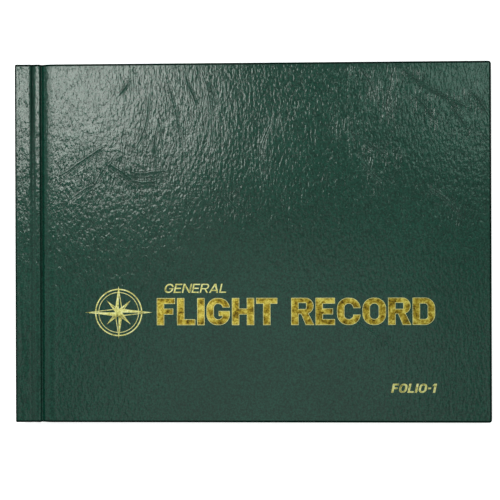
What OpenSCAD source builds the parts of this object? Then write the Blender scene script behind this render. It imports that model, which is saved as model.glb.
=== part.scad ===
// Case-bound landscape record book, closed and lying on its back cover.
// Origin: middle of the underside. +X runs from the spine to the fore-edge,
// +Y from tail to head, +Z up through the front cover.
// Lengths called "from the spine" start at the outer face of the spine.

/* [Covers] */
// Width of the closed book, spine to fore-edge
cover_w = 227; // [200:1:260]
// Height of the covers, tail to head
cover_h = 171.5; // [150:0.5:200]
// Thickness of the greyboard
board_t = 2.3; // [2:0.1:3]
// Thickness of the leatherette
cloth_t = 0.5; // [0.3:0.05:0.6]
// Width of the leatherette folded over the inside of each cover
turn_in = 15; // [8:1:20]
// How far the covers stand out past the leaves
overhang = 3; // [2:0.5:5]

/* [Hinges] */
// Width of the stiff strip beside the spine, with its leatherette
strip_w = 12.1; // [11.5:0.1:14]
// Width of the flexible joint between the strip and a cover board
joint_w = 5.2; // [5:0.1:6]
// Middle of the crease pressed into the strip, from the spine
crease_x = 8.6; // [8:0.1:9]
// Width of the pressed crease
crease_w = 2.4; // [1.6:0.1:3]
// Depth of the pressed crease
crease_d = 0.8; // [0.4:0.1:1]

/* [Pages] */
// Number of leaves in a sewn section
section_leaves = 8; // [4:1:9]
// Thickness of one leaf
leaf_t = 0.12; // [0.08:0.01:0.13]
// Thickness of a flyleaf
flyleaf_t = 0.2; // [0.12:0.02:0.3]

/* [Sewing] */
// Number of holes stabbed through the margins
stitch_count = 14; // [8:1:20]
// Diameter of the thread
thread_d = 0.5; // [0.4:0.05:0.6]
// Distance of the stitch line from the spine
stitch_x = 6.4; // [5.5:0.1:7]

/* [Foil] */
// Cap height of the title
title_cap = 12.9; // [9:0.1:14]
// Width of a standard letter of the title
title_letter_w = 10.6; // [8:0.1:11]
// Left end of the title, from the spine
title_x = 68; // [50:1:70]
// Baseline of the title, from the tail edge
title_y = 46.5; // [30:0.5:80]
// Cap height of the two small lines
small_cap = 4.3; // [3:0.1:6]
// Diameter of the emblem's ring
ring_d = 22.6; // [16:0.1:26]
// Reach of the emblem's two long points, tip to tip
rose_w = 32; // [28:0.5:36]

/* [Hidden] */

// Colours
leatherette = [0.16, 0.27, 0.23];
greyboard = [0.55, 0.53, 0.5];
paper = [0.93, 0.91, 0.84];
endpaper = [0.96, 0.94, 0.88];
gauze = [0.86, 0.83, 0.74];
foil = [0.78, 0.62, 0.27];

// Layers inside a cover, in from its outer face
paste_t = 0.12;
fold_t = 0.2;
cover_t = cloth_t + board_t + fold_t + paste_t;

// Gaps: between leaves at rest, between leaves laid open, beside a hinge line
leaf_gap = 0.03;
laid_gap = 0.1;
hinge_gap = 0.03;
pivot_ease = 0.15;

// Sections: three turn with the front cover, one stays, three turn with the back
turned = 3;
sections = 2 * turned + 1;
section_t = section_leaves * leaf_t;
block_t = sections * section_t + 2 * flyleaf_t + (sections + 3) * leaf_gap;
book_t = 2 * cover_t + block_t;

// Front hinge: the joint turns about its strip edge, the cover about the far edge
open_gap = 0.4;
groove_d = (joint_w - open_gap) / 2;
joint_t = cover_t - groove_d;
joint_x = strip_w + hinge_gap;
joint_z = book_t - groove_d;
cover_x = joint_x + joint_w;
inner_z = book_t - cover_t;
board_z = book_t - cloth_t - board_t;

// Half heights in Y
half_h = cover_h / 2;
board_y = half_h - cloth_t;
leaf_y = half_h - overhang;
mull_y = leaf_y - 1;
leaf_end = cover_w - overhang - 0.5;
paste_y = leaf_y - 0.5;

// Spine layers, in from its outer face
spine_board_t = 1.8;
lining_t = 0.15;
mull_t = 0.2;
lining_x = cloth_t + spine_board_t;
mull_x = lining_x + lining_t;
margin_x = mull_x + mull_t;

// Rounding of the covered edges
edge_r = 0.9 * cloth_t;
round_fn = 48;

foil_t = 0.06;
spare = 1;

// Leaves turned with a cover: 0 is the flyleaf, 1 to 3 the sections under it
function leaf_thick(i) = i == 0 ? flyleaf_t : section_t;
function top_z(i) = i == 0
    ? inner_z - leaf_gap
    : top_z(i - 1) - leaf_thick(i - 1) - leaf_gap;
function pivot_x(i) = i == 0
    ? joint_x + joint_t + pivot_ease
    : pivot_x(i - 1) + leaf_thick(i - 1) + pivot_ease;
function laid_z(i) = i == 0
    ? joint_z + joint_w + joint_t + laid_gap
    : laid_z(i - 1) + leaf_thick(i - 1) + laid_gap;
function gutter_w(i) = laid_z(i) - top_z(i);

// Box between two distances from the spine, centred on Y
module slab(x0, x1, y, z0, z1)
    translate([x0 - cover_w / 2, -y, z0])
        cube([x1 - x0, 2 * y, z1 - z0]);

// The same piece on the other side of the book
module back_side()
    translate([0, 0, book_t])
        mirror([0, 0, 1])
            children();

// Outline in X and Z, drawn from the spine, run from tail to head
module run_along_y(y)
    translate([-cover_w / 2, y, 0])
        rotate([90, 0, 0])
            linear_extrude(2 * y)
                children();

// ---- Covers ----

// Upright outline whose top corner is rounded at its far end, or at both ends
module rounded_top(x0, x1, z0, z1, r, both) {
    near_r = both ? r : 0;
    translate([x0, z0])
        square([x1 - x0, z1 - z0 - r]);
    translate([x0 + near_r, z0])
        square([x1 - x0 - r - near_r, z1 - z0]);
    translate([x1 - r, z1 - r])
        circle(r = r, $fn = round_fn);
    if (both)
        translate([x0 + r, z1 - r])
            circle(r = r, $fn = round_fn);
}

// Slab whose top edge is rounded at the head, the tail and the fore-edge
module rounded_cover(x0, x1, y, z0, z1, r)
    intersection() {
        run_along_y(y)
            rounded_top(x0, x1, z0, z1, r, false);
        translate([x0 - cover_w / 2, 0, 0])
            rotate([90, 0, 90])
                linear_extrude(x1 - x0)
                    rounded_top(-y, y, z0, z1, r, true);
    }

module cover_board()
    color(greyboard)
        slab(cover_x + hinge_gap + cloth_t, cover_w - cloth_t, board_y, board_z, board_z + board_t);

// Leatherette over a board, folded in round three sides
module cover_cloth() {
    color(leatherette)
        difference() {
            rounded_cover(cover_x + hinge_gap, cover_w, half_h, inner_z + paste_t, book_t, edge_r);
            slab(cover_x + hinge_gap + cloth_t, cover_w - cloth_t, board_y, board_z, board_z + board_t);
            slab(cover_x - spare, cover_w - turn_in, half_h - turn_in, inner_z - spare, board_z);
        }
}

// Endpaper glued to the inside of a cover, over the folded-in leatherette
module pastedown() {
    color(endpaper) {
        slab(cover_x + hinge_gap, leaf_end, paste_y, inner_z, inner_z + paste_t);
        slab(cover_x + hinge_gap, cover_w - turn_in, half_h - turn_in, inner_z, board_z);
    }
}

// ---- Flexible joints ----

module joint_cloth()
    color(leatherette)
        slab(joint_x, cover_x, half_h, joint_z - cloth_t, joint_z);

module joint_lining()
    color(gauze)
        slab(joint_x, cover_x, paste_y, inner_z, joint_z - cloth_t);

// ---- Spine ----

// Section through the strip on the front side, with its pressed crease
module strip_outline(inset) {
    half_w = crease_w / 2;
    top = book_t - inset;
    polygon([
        [inset, inner_z],
        [inset, top],
        [crease_x - half_w, top],
        [crease_x, top - crease_d],
        [crease_x + half_w, top],
        [strip_w - inset, top],
        [strip_w - inset, inner_z]
    ]);
}

// Thread channel along the inner face of a strip
module thread_channel()
    slab(stitch_x - thread_d * 0.6, stitch_x + thread_d * 0.6, leaf_y, inner_z - spare, inner_z + thread_d * 1.1);

module strip_board()
    color(greyboard)
        difference() {
            run_along_y(board_y)
                intersection() {
                    strip_outline(cloth_t);
                    translate([0, board_z])
                        square([strip_w, cover_t]);
                }
            thread_channel();
        }

module spine_board()
    color(greyboard)
        slab(cloth_t, lining_x, board_y, book_t - board_z, board_z);

// One strip side of the leatherette round the spine
module strip_cover()
    difference() {
        run_along_y(half_h)
            intersection() {
                strip_outline(0);
                translate([0, board_z])
                    square([strip_w, cover_t]);
            }
        run_along_y(board_y)
            strip_outline(cloth_t);
    }

// Leatherette round the spine and both strips, folded over their ends
module spine_cloth()
    color(leatherette) {
        strip_cover();
        back_side()
            strip_cover();
        difference() {
            slab(0, lining_x, half_h, book_t - board_z, board_z);
            slab(cloth_t, lining_x + spare, board_y, 0, book_t);
        }
    }

module spine_lining()
    color(endpaper)
        slab(lining_x, mull_x, mull_y, book_t - board_z, board_z);

// Gauze round the back of the sewn margins and under both strips
module mull() {
    color(gauze)
        difference() {
            slab(mull_x, strip_w - cloth_t, mull_y, book_t - board_z, board_z);
            slab(margin_x, strip_w, mull_y + spare, book_t - inner_z, inner_z);
            thread_channel();
            back_side()
                thread_channel();
        }
}

// ---- Sewing ----

stitch_pitch = 2 * (leaf_y - 6) / (stitch_count - 1);
thread_z = inner_z + thread_d / 2;
function stitch_y(n) = -(leaf_y - 6) + n * stitch_pitch;

// One stitch lying along Y from hole n to the next
module stitch(n)
    translate([stitch_x - cover_w / 2, stitch_y(n), n % 2 == 0 ? thread_z : book_t - thread_z])
        rotate([-90, 0, 0])
            cylinder(d = thread_d, h = stitch_pitch, $fn = round_fn);

module sewing_thread() {
    color(gauze) {
        for (n = [0 : stitch_count - 1])
            translate([stitch_x - cover_w / 2, stitch_y(n), book_t - thread_z])
                cylinder(d = thread_d, h = 2 * thread_z - book_t, $fn = round_fn);
        for (n = [0 : stitch_count - 2])
            stitch(n);
        for (n = [0 : stitch_count - 1], z = [thread_z, book_t - thread_z])
            translate([stitch_x - cover_w / 2, stitch_y(n), z])
                sphere(d = thread_d, $fn = round_fn);
    }
}

// Inner margins of all the leaves, clamped and stab-sewn, stepped at the gutter
module sewn_margins() {
    hole_d = thread_d + 0.04;
    color(paper)
        difference() {
            union() {
                slab(margin_x, pivot_x(0), leaf_y, book_t - inner_z, inner_z);
                for (i = [1 : turned])
                    slab(margin_x, pivot_x(i), leaf_y, book_t - top_z(i) - leaf_gap, top_z(i) + leaf_gap);
                slab(margin_x, middle_x, leaf_y, middle_z, middle_z + section_t);
            }
            for (n = [0 : stitch_count - 1])
                translate([stitch_x - cover_w / 2, stitch_y(n), 0])
                    cylinder(d = hole_d, h = book_t, $fn = round_fn);
        }
}

// Striped roll at one end of the spine edge of the leaves
module end_band(side) {
    band_d = 1.3;
    band_h = block_t - 1;
    color("white")
        translate([margin_x + band_d / 2 - cover_w / 2, side * (leaf_y + band_d / 2), (book_t - band_h) / 2])
            cylinder(d = band_d, h = band_h, $fn = round_fn);
}

// ---- Leaves ----

middle_x = pivot_x(turned) + section_t + pivot_ease;
middle_z = (book_t - section_t) / 2;

module leaf_gutter(i)
    color(i == 0 ? endpaper : paper)
        slab(pivot_x(i), pivot_x(i) + gutter_w(i), leaf_y, top_z(i) - leaf_thick(i), top_z(i));

module leaf_body(i)
    color(i == 0 ? endpaper : paper)
        slab(pivot_x(i) + gutter_w(i), leaf_end, leaf_y, top_z(i) - leaf_thick(i), top_z(i));

// The section that stays with the spine
module middle_section()
    color(paper)
        slab(middle_x, leaf_end, leaf_y, middle_z, middle_z + section_t);

// ---- Foil letters: each in a box of width w and height 1, stem s, bar b ----

bold = [0.27, 0.215];
fine = [0.16, 0.13];
code = [0.24, 0.18];
title_gap = 0.075;
small_gap = 0.13;
word_space = 0.36;

// Width of each letter, from the standard width
function letter_w(c, w, s) =
    c == "I" ? s :
    c == "1" ? s * 1.75 :
    c == " " ? word_space :
    c == "-" ? 0.4 * w :
    c == "F" || c == "L" ? 0.82 * w :
    c == "E" ? 0.87 * w :
    c == "T" ? 0.95 * w :
    c == "G" || c == "C" || c == "O" || c == "N" ? 1.05 * w :
    c == "A" ? 1.12 * w : w;

function pen_x(word, n, w, s, gap) =
    n == 0 ? 0 : pen_x(word, n - 1, w, s, gap) + letter_w(word[n - 1], w, s) + gap;

// Rectangle with round corners, from squares and circles
module pill(w, h, r) {
    translate([r, 0])
        square([w - 2 * r, h]);
    translate([0, r])
        square([w, h - 2 * r]);
    for (x = [r, w - r], y = [r, h - r])
        translate([x, y])
            circle(r = r, $fn = round_fn);
}

module round_letter(w, h, s, b) {
    r = min(0.46 * w, h / 2);
    difference() {
        pill(w, h, r);
        translate([s, b])
            pill(w - 2 * s, h - 2 * b, r - s * 0.9);
    }
}

// Closed bowl on a straight stem
module bowl_letter(w, h, s, b) {
    r = min(0.46 * w, h / 2 - 0.001);
    inner_r = max(r - s, 0.03);
    difference() {
        union() {
            square([w / 2, h]);
            pill(w, h, r);
        }
        translate([s, b])
            square([(w - 2 * s) / 2, h - 2 * b]);
        translate([s, b])
            pill(w - 2 * s, h - 2 * b, inner_r);
    }
}

module stem(x, s)
    translate([x, 0])
        square([s, 1]);

module bar(y, x1, b)
    translate([0, y])
        square([x1, b]);

module letter(c, w, s, b) {
    mid = (1 - b) / 2;
    if (c == "I")
        stem(0, s);
    if (c == "L" || c == "E" || c == "F" || c == "H" || c == "N")
        stem(0, s);
    if (c == "L" || c == "E")
        bar(0, w, b);
    if (c == "E" || c == "F")
        bar(1 - b, w, b);
    if (c == "E" || c == "F")
        bar(mid, 0.9 * w, b);
    if (c == "H" || c == "N")
        stem(w - s, s);
    if (c == "H")
        bar(mid, w, b);
    if (c == "N")
        polygon([[0, 1], [1.1 * s, 1], [w, 0], [w - 1.1 * s, 0]]);
    if (c == "T") {
        bar(1 - b, w, b);
        stem((w - s) / 2, s);
    }
    if (c == "O")
        round_letter(w, 1, s, b);
    if (c == "C")
        difference() {
            round_letter(w, 1, s, b);
            translate([w / 2, 0.38])
                square([w, 0.24]);
        }
    if (c == "G") {
        difference() {
            round_letter(w, 1, s, b);
            translate([w / 2, 0.5])
                square([w, 0.15]);
        }
        translate([0.52 * w, 0.52 - 0.85 * b])
            square([0.48 * w, 0.85 * b]);
    }
    if (c == "D")
        bowl_letter(w, 1, s, b);
    if (c == "R") {
        stem(0, s);
        translate([0, 0.4])
            bowl_letter(w, 0.6, s, 0.88 * b);
        polygon([[0.4 * w, 0.5], [0.4 * w + s, 0.5], [w * 1.03, 0], [w * 1.03 - 1.15 * s, 0]]);
    }
    if (c == "A")
        difference() {
            polygon([[0, 0], [w / 2 - 0.6 * s, 1], [w / 2 + 0.6 * s, 1], [w, 0]]);
            polygon([[1.15 * s, 0], [1.15 * s + 0.06 * w, 0.2], [0.94 * w - 1.15 * s, 0.2], [w - 1.15 * s, 0]]);
            polygon([[1.15 * s + 0.1 * w, 0.2 + b], [w / 2, 0.74], [0.9 * w - 1.15 * s, 0.2 + b]]);
        }
    if (c == "1") {
        stem(0.75 * s, s);
        polygon([[0, 0.72], [0.8 * s, 0.84], [0.8 * s, 1], [0.6 * s, 1], [0, 0.86]]);
    }
    if (c == "-")
        bar(0.4, w, b);
}

// Word stamped in foil on the front cover, its start measured from the spine and the tail
module foil_word(word, x, y, cap, w, weight, gap, lean)
    color(foil)
        translate([x - cover_w / 2, y - half_h, book_t])
            multmatrix([[1, lean, 0, 0], [0, 1, 0, 0], [0, 0, 1, 0], [0, 0, 0, 1]])
                linear_extrude(foil_t)
                    scale(cap)
                        for (n = [0 : len(word) - 1])
                            translate([pen_x(word, n, w, weight[0], gap), 0])
                                letter(word[n], letter_w(word[n], w, weight[0]), weight[0], weight[1]);

// ---- Foil emblem: a compass rose in a double ring ----

rose_cx = 49.7;
rose_cy = 52.6;

module foil_ring(d, line)
    difference() {
        circle(d = d, $fn = round_fn * 2);
        circle(d = d - 2 * line, $fn = round_fn * 2);
    }

// One point of the rose: a solid half and an outlined half
module rose_point(reach, waist, line) {
    polygon([[0, 0], [waist, waist], [reach, 0]]);
    difference() {
        polygon([[0, 0], [waist, -waist], [reach, 0]]);
        polygon([
            [waist * 0.5, -line * 0.2],
            [waist + line * 0.3, -waist + line * 1.5],
            [reach - line * 9, -line * 0.2]
        ]);
    }
}

module emblem_foil()
    color(foil)
        translate([rose_cx - cover_w / 2, rose_cy - half_h, book_t])
            linear_extrude(foil_t) {
                foil_ring(ring_d, 0.55);
                foil_ring(ring_d - 3.2, 0.3);
                for (turn = [45 : 90 : 315])
                    rotate(turn)
                        rose_point(ring_d * 0.36, 1.1, 0.28);
                for (turn = [90, 270])
                    rotate(turn)
                        rose_point(rose_w * 0.39, 1.7, 0.28);
                for (turn = [0, 180])
                    rotate(turn)
                        rose_point(rose_w / 2, 1.7, 0.28);
            }

spine_cloth();
spine_board();
strip_board();  // front_strip_board
back_side() strip_board();  // back_strip_board
spine_lining();
mull();
sewing_thread();
end_band(1);  // head_band
end_band(-1);  // tail_band
sewn_margins();
middle_section();  // section_4
joint_cloth();  // front_joint_cloth
joint_lining();  // front_joint_lining
cover_cloth();  // front_cover_cloth
cover_board();  // front_board
pastedown();  // front_pastedown
foil_word("FLIGHT RECORD", title_x, title_y, title_cap, title_letter_w / title_cap, bold, title_gap, 0);  // title_foil
foil_word("GENERAL", title_x + 3.4, title_y + 15.4, small_cap, 0.9, fine, small_gap, 0.22);  // subtitle_foil
emblem_foil();
foil_word("FOLIO-1", title_x + 111.3, title_y - 32.2, small_cap, 0.82, code, small_gap, 0.22);  // folio_foil
back_side() joint_cloth();  // back_joint_cloth
back_side() joint_lining();  // back_joint_lining
back_side() cover_cloth();  // back_cover_cloth
back_side() cover_board();  // back_board
back_side() pastedown();  // back_pastedown
leaf_gutter(0);  // front_flyleaf_gutter
leaf_body(0);  // front_flyleaf
leaf_gutter(1);  // section_1_gutter
leaf_body(1);  // section_1
leaf_gutter(2);  // section_2_gutter
leaf_body(2);  // section_2
leaf_gutter(3);  // section_3_gutter
leaf_body(3);  // section_3
back_side() leaf_gutter(3);  // section_5_gutter
back_side() leaf_body(3);  // section_5
back_side() leaf_gutter(2);  // section_6_gutter
back_side() leaf_body(2);  // section_6
back_side() leaf_gutter(1);  // section_7_gutter
back_side() leaf_body(1);  // section_7
back_side() leaf_gutter(0);  // back_flyleaf_gutter
back_side() leaf_body(0);  // back_flyleaf
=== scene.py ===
"""Looks of a landscape flight record book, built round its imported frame. Metres throughout."""

import math

import bmesh
import bpy
import numpy as np
from mathutils import Euler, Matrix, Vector


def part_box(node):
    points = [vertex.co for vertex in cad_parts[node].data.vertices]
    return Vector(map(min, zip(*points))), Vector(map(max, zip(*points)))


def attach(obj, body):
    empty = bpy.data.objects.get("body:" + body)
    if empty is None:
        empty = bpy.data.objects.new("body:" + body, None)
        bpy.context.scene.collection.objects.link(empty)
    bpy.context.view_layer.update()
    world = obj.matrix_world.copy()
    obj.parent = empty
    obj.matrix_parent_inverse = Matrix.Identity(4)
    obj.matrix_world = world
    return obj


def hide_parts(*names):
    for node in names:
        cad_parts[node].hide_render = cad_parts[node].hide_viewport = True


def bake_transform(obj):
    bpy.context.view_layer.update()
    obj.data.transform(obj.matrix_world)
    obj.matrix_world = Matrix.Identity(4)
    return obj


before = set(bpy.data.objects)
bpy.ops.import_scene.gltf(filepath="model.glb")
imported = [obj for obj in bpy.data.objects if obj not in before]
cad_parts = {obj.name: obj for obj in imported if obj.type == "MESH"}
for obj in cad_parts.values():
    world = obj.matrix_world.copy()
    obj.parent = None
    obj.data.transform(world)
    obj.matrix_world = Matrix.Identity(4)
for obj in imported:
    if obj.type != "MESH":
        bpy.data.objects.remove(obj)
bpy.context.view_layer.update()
MM = 0.001

# ---------------------------------------------------------------- places, all from the frame

SPINE_LOW, SPINE_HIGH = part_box("spine_cloth")
JOINT_LOW, JOINT_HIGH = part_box("front_joint_cloth")
COVER_LOW, COVER_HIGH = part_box("front_cover_cloth")
PASTE_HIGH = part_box("front_pastedown")[1]
MARGIN_LOW, MARGIN_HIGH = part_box("sewn_margins")

SPINE_X = SPINE_LOW.x
FORE_X = COVER_HIGH.x
HALF_Y = COVER_HIGH.y
BOOK_T = COVER_HIGH.z
HINGE_A = JOINT_LOW.x
HINGE_B = JOINT_HIGH.x
JOINT_UNDER_Z = JOINT_LOW.z
COVER_UNDER_Z = COVER_LOW.z
STRIP_END = SPINE_HIGH.x
STRIP_UNDER_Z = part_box("front_strip_board")[0].z
SPINE_INNER_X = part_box("spine_board")[1].x
MID_JOINT = (HINGE_A + HINGE_B) / 2
LEAF_Y = MARGIN_HIGH.y
FOIL_NODES = ("title_foil", "subtitle_foil", "emblem_foil", "folio_foil")
LEAVES_PER_SECTION = 8

# The crease pressed into the strip: where it starts, its bottom and its depth
CREASE_START = SPINE_X + 6.6 * MM
CREASE_MID = SPINE_X + 8.5 * MM
CREASE_DEEP = 0.70 * MM
# The bead between crease and groove: its top, how far that lies below the strip, its fall to the end
BEAD_TOP = SPINE_X + 10.6 * MM
BEAD_LOW = 0.06 * MM
BEAD_FALL = 0.42 * MM


# ---------------------------------------------------------------- noise

def hashed_angle(ix, iy, seed):
    """A direction for each lattice point, the same on every run."""
    h = (ix.astype(np.int64) * 374761393 + iy.astype(np.int64) * 668265263 + seed * 974634777) & 0xFFFFFFFF
    h = ((h ^ (h >> 13)) * 1274126177) & 0xFFFFFFFF
    h = (h ^ (h >> 16)) & 0xFFFFFFFF
    return h / 0xFFFFFFFF * 2 * math.pi


def noise(x, y, seed):
    """Smooth gradient noise of unit cell, roughly -0.7 to 0.7."""
    ix, iy = np.floor(x), np.floor(y)
    fx, fy = x - ix, y - iy
    total = 0
    ease_x = fx ** 3 * (fx * (fx * 6 - 15) + 10)
    ease_y = fy ** 3 * (fy * (fy * 6 - 15) + 10)
    for dx in (0, 1):
        for dy in (0, 1):
            a = hashed_angle(ix + dx, iy + dy, seed)
            ramp = np.cos(a) * (fx - dx) + np.sin(a) * (fy - dy)
            wx = ease_x if dx else 1 - ease_x
            wy = ease_y if dy else 1 - ease_y
            total = total + ramp * wx * wy
    return total


def smooth(low, high, value):
    t = np.clip((value - low) / (high - low), 0, 1)
    return t * t * (3 - 2 * t)


# ---------------------------------------------------------------- the relief of the leatherette

# Patches of fine creases: centre as shares of the cover, radius, direction in degrees,
# distance between creases, their length (millimetres)
CREASE_PATCHES = (
    (0.37, 0.84, 32, 98, 5.5, 46),
    (0.26, 0.76, 28, 64, 5.0, 30),
    (0.16, 0.54, 26, 38, 6.0, 34),
    (0.26, 0.60, 20, -12, 5.5, 30),
    (0.86, 0.90, 40, -32, 7.0, 46),
    (0.72, 0.62, 26, -40, 7.0, 36),
    (0.50, 0.66, 22, 78, 8.0, 40),
)
PATCH_DEEP = 0.055 * MM
PATCH_SIGMA = 0.13
# Depth of the waviness and of the coarse grain, and how far the whole face lies below nominal
WAVE_DEEP = 0.03 * MM
GRAIN_DEEP = 0.014 * MM
SINK = 0.04 * MM

# Long creases, each through a few points: millimetres from the spine and from the head
LONG_CREASES = (
    ((72, 3), (76, 18), (78, 27), (80, 42)),
    ((82, 3), (83, 9), (86, 16), (88, 24)),
    ((89, 2), (92, 10), (95, 24), (94, 34), (93, 45)),
    ((92, 8), (95, 14), (97, 24)),
    ((65, 14), (64, 23), (62, 33), (56, 43)),
    ((56, 8), (50, 16)),
    ((69, 28), (67, 40), (68, 47)),
    ((42, 46), (48, 50), (54, 54), (59, 60)),
    ((44, 40), (38, 43), (29, 49), (22, 54)),
    ((50, 42), (42, 52), (38, 60)),
    ((54, 51), (61, 53), (68, 52), (75, 53)),
    ((52, 56), (62, 57), (70, 56)),
    ((164, 2), (168, 7), (171, 13), (173, 21)),
    ((179, 4), (180, 10), (178, 19), (180, 26)),
    ((184, 2), (190, 8), (197, 12), (208, 19), (220, 24)),
    ((189, 15), (196, 22), (200, 29)),
    ((206, 17), (211, 25), (218, 36)),
    ((216, 14), (222, 20), (226, 28)),
    ((158, 33), (166, 37), (172, 41), (180, 46)),
    ((123, 29), (120, 35), (118, 42), (119, 50)),
    ((166, 44), (170, 52), (176, 58)),
    ((100, 62), (106, 70)),
    ((196, 60), (206, 66), (214, 76)),
    ((150, 118), (164, 124), (176, 134)),
    ((26, 66), (34, 60), (40, 58)),
)
# A long crease: its depth, half width, how far its lips lie from its middle and their share of its
# depth, how much its course wavers, and the length of a waver
LONG_DEEP = 0.085 * MM
LONG_HALF = 0.36 * MM
LIP_HALF = 1.05 * MM
LIP_SHARE = 0.35
WAVER = 0.5 * MM
WAVER_CELL = 3.4 * MM
FAR = 1.0
FAR_MM = 9.0


def creases(x, y, angle, gap, length, seed):
    """Thin valleys, 1 at their middle, that run along a direction and wander."""
    a = math.radians(angle)
    along = (x * math.cos(a) + y * math.sin(a)) / (length * MM)
    across = (-x * math.sin(a) + y * math.cos(a)) / (gap * MM)
    wander = noise(x / (17 * MM), y / (17 * MM), seed + 3)
    n = noise(along + 7.3, across + 0.9 * wander, seed)
    strength = smooth(-0.15, 0.35, noise(x / (11 * MM), y / (11 * MM), seed + 5))
    return np.exp(-((n / PATCH_SIGMA) ** 2)) * strength


# The back cover's long creases are the front's, drawn out and moved, in millimetres
BACK_STRETCH = (0.93, 1)
BACK_SHIFT = (14, 9)


def curve_through(points, mirrored):
    """Dense points of a smooth curve through a crease's points, with a fade from 0 to 1 at its ends."""
    given = np.array(points, float)
    t = np.arange(len(given))
    dense = np.linspace(0, len(given) - 1, 16 * len(given))
    if len(given) > 2:
        bow = np.polyfit(t, given, min(3, len(given) - 1))
        curve = np.stack([np.polyval(bow[:, k], dense) for k in (0, 1)], 1)
    else:
        curve = np.stack([np.interp(dense, t, given[:, k]) for k in (0, 1)], 1)
    if mirrored:
        curve = curve * BACK_STRETCH + BACK_SHIFT
    x = SPINE_X + curve[:, 0] * MM
    y = HALF_Y - curve[:, 1] * MM
    share = dense / dense[-1]
    return x, y, smooth(0, 0.25, share) * smooth(0, 0.25, 1 - share)


def beside_curve(x, y, cx, cy, reach):
    """Which points lie in the box round a curve, widened by reach."""
    return ((x > cx.min() - reach) & (x < cx.max() + reach)
            & (y > cy.min() - reach) & (y < cy.max() + reach))


def long_creases(x, y, mirrored=False):
    """Depth of the long creases: a valley with a raised lip on each side."""
    total = np.zeros_like(x)
    jitter_x = WAVER * noise(x / WAVER_CELL, y / WAVER_CELL, 611)
    jitter_y = WAVER * noise(x / WAVER_CELL, y / WAVER_CELL, 613)
    for points in LONG_CREASES:
        cx, cy, fade = curve_through(points, mirrored)
        near = beside_curve(x, y, cx, cy, 4 * MM)
        if not near.any():
            continue
        px = (x + jitter_x)[near]
        py = (y + jitter_y)[near]
        best = np.full(len(px), FAR)
        strength = np.zeros(len(px))
        for qx, qy, f in zip(cx, cy, fade):
            d = np.hypot(px - qx, py - qy)
            closer = d < best
            best = np.where(closer, d, best)
            strength = np.where(closer, f, strength)
        valley = np.exp(-((best / LONG_HALF) ** 2))
        lip = np.exp(-(((best - LIP_HALF) / LONG_HALF) ** 2))
        total[near] += strength * (LONG_DEEP * valley - LIP_SHARE * LONG_DEEP * lip)
    return total


def crease_lines(x, y, mirrored=False):
    """For each point: its signed distance in millimetres from the nearest long crease, and how much
    of that crease shows there."""
    nearest = np.full(len(x), FAR)
    signed = np.full(len(x), FAR_MM)
    strength = np.zeros(len(x))
    for points in LONG_CREASES:
        cx, cy, fade = curve_through(points, mirrored)
        tx, ty = np.gradient(cx), np.gradient(cy)
        index = np.flatnonzero(beside_curve(x, y, cx, cy, 3.5 * MM))
        for qx, qy, ux, uy, shown in zip(cx, cy, tx, ty, fade):
            dx, dy = x[index] - qx, y[index] - qy
            d = np.hypot(dx, dy)
            closer = d < nearest[index]
            hit = index[closer]
            nearest[hit] = d[closer]
            signed[hit] = (np.sign(ux * dy - uy * dx) * d / MM)[closer]
            strength[hit] = shown * np.exp(-((d[closer] / (1.9 * MM)) ** 2))
    return np.stack([np.clip(signed, -FAR_MM, FAR_MM), strength, np.zeros(len(x))], 1)


# How far wrinkles reach from a long crease, and the lean in degrees up to which one counts as upright
WRINKLE_REACH = 7 * MM
FLAT_SLANT = 25


def wrinkle_fields(x, y, mirrored=False):
    """How strongly fine wrinkles run upright, along / and along \\ at each point."""
    fields = np.zeros((len(x), 3))
    width = FORE_X - SPINE_X
    share = (x - SPINE_X) / width
    high = smooth(-0.45 * HALF_Y, 0.7 * HALF_Y, y)
    fields[:, 0] = 0.24 * high * smooth(0.2, 0.4, share)
    fields[:, 1] = 0.34 * high * (1 - smooth(0.25, 0.55, share))
    fields[:, 2] = 0.22 * high * smooth(0.55, 0.8, share)
    for points in LONG_CREASES:
        cx, cy, _ = curve_through(points, mirrored)
        slant = math.degrees(math.atan2(cy[-1] - cy[0], cx[-1] - cx[0])) % 180
        upright = abs(slant - 90)
        kind = 0 if upright < FLAT_SLANT else (1 if slant < 90 else 2)
        near = np.full(len(x), FAR)
        for qx, qy in zip(cx[::3], cy[::3]):
            near = np.minimum(near, np.hypot(x - qx, y - qy))
        fields[:, kind] = np.maximum(fields[:, kind], np.exp(-((near / WRINKLE_REACH) ** 2)))
    patchy = smooth(-0.35, 0.3, noise(x / (9 * MM), y / (9 * MM), 881))
    return fields * (0.35 + 0.65 * patchy)[:, None] * edge_fade(x, y)[:, None]


def front_fields(x, y):
    return wrinkle_fields(x, y) * (1 - stamped(x, y, 8 * MM))[:, None]


def back_fields(x, y):
    return wrinkle_fields(x, y, True)


def spine_fields(x, y):
    """Short pulls across the strip near the head."""
    fields = np.zeros((len(x), 3))
    near = np.exp(-(((x - CREASE_MID) / (4 * MM)) ** 2)) * (x < STRIP_END)
    fields[:, 1] = 0.55 * near * smooth(-0.2, 0.5, noise(x / (9 * MM), y / (7 * MM), 883) + 0.2)
    return fields


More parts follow.
